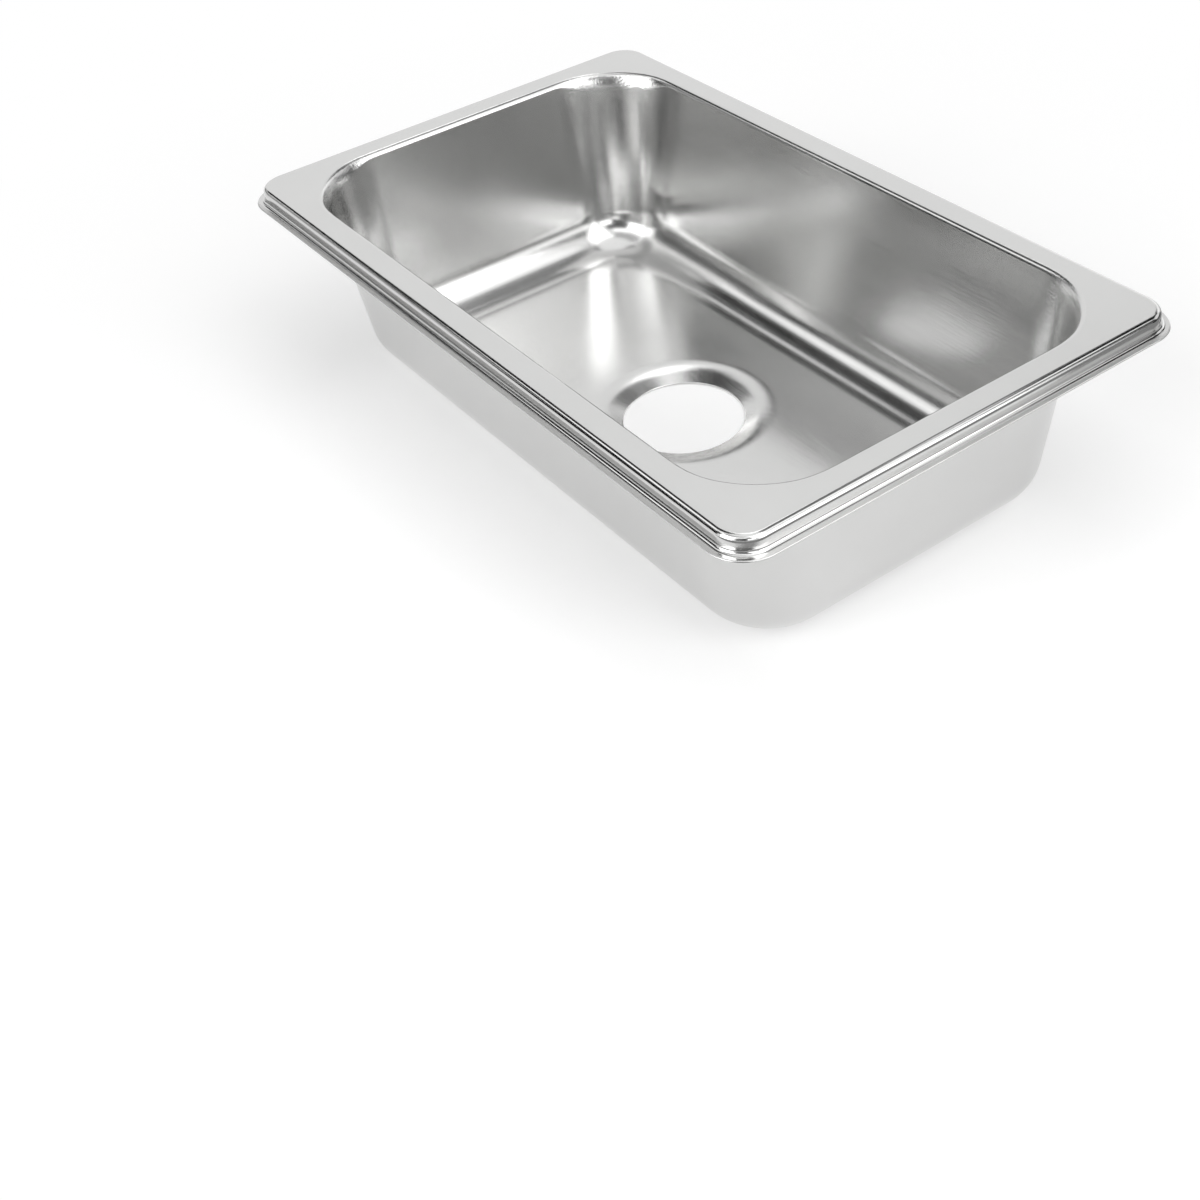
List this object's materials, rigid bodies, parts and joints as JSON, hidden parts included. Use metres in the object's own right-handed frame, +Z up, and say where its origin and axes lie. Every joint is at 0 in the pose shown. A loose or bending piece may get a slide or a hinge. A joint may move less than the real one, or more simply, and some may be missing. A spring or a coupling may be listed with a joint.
{
  "type": "inset kitchen sink",
  "caption": "Small rectangular pressed steel inset sink with a stepped rim, coved bowl and dished round drain hole, with a foam rim seal and sound pads.",
  "frame": {"origin": "on the drain hole's axis at the lowest point of the dish, which is the centre of the bottom of the overall box", "axes": "+Z up; +X along the sink's long side; +Y across it, towards the long side with the seal's joint"},
  "size_m": [0.265, 0.162, 0.0675],
  "materials": {
    "stainless_steel": "satin, finely brushed",
    "seal_foam": "matt closed-cell foam",
    "pad_rubber": "matt sheet rubber"
  },
  "bodies": {
    "root": {"bowl": "stainless_steel", "rim_seal": "seal_foam", "sound_pad_left": "pad_rubber", "sound_pad_right": "pad_rubber"}
  },
  "joints": []
}
